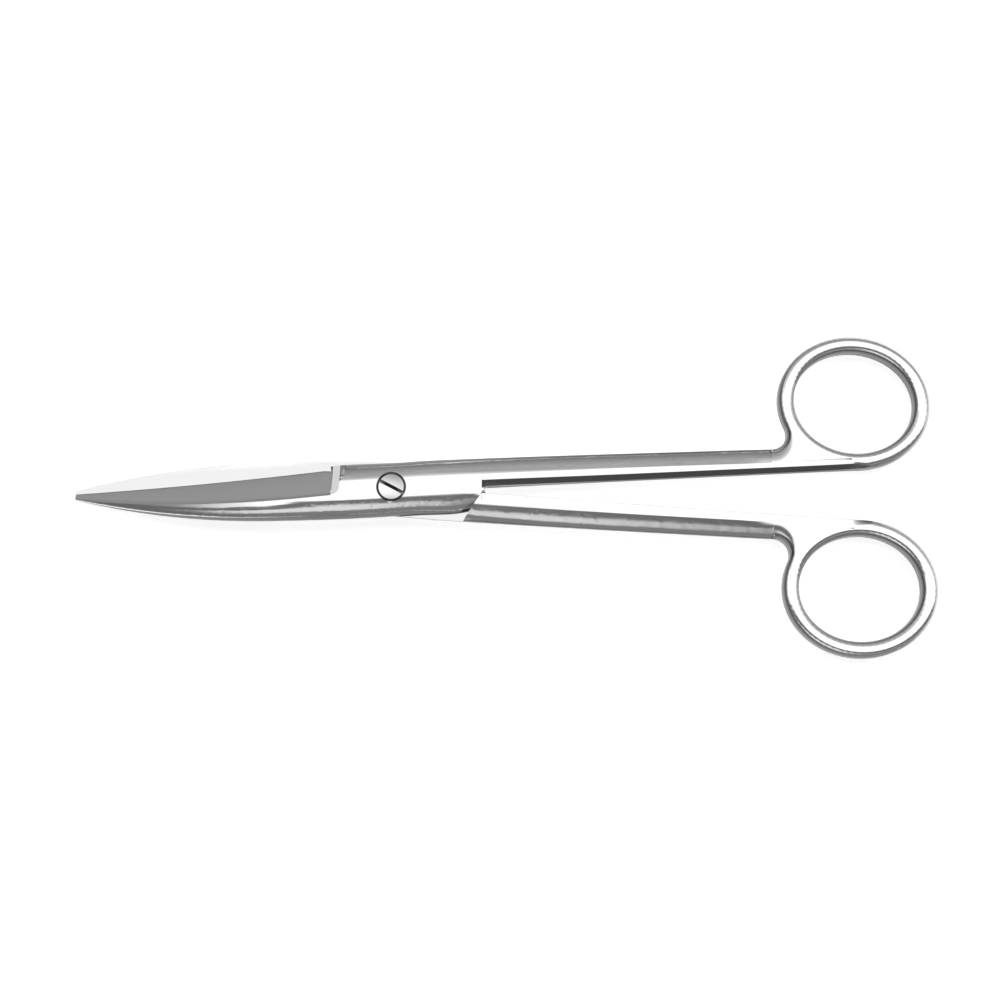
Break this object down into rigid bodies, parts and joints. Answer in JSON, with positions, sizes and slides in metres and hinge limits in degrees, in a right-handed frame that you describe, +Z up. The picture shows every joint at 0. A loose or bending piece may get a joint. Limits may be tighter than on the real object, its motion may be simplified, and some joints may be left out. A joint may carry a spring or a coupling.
{
  "type": "tonsil scissors",
  "caption": "Surgical tonsil scissors, curved on the flat: forged halves with ground blades cross at a slotted screw and end in oval finger rings.",
  "frame": {"origin": "middle of the bounding box's base, on the surface that the closed scissors lie on with their tips and finger rings", "axes": "+Z up, out of the face that shows the screw's slot; +X towards the finger rings, -X towards the tips; +Y towards the upper half's ring"},
  "size_m": [0.1788, 0.0672, 0.0106],
  "materials": {
    "polished_steel": "polished stainless steel, satin on the ground bevels",
    "screw_steel": "bright turned stainless steel"
  },
  "bodies": {
    "bottom": {"bottom_half": "polished_steel", "joint_screw": "screw_steel"},
    "top": {"top_half": "polished_steel"}
  },
  "joints": [
    {"name": "pivot", "type": "hinge", "parent": "bottom", "child": "top", "pos_m": [-0.0215, 0, 0.00707], "axis": [0.047, 0, 0.9989], "range_deg": [0, 90]}
  ]
}
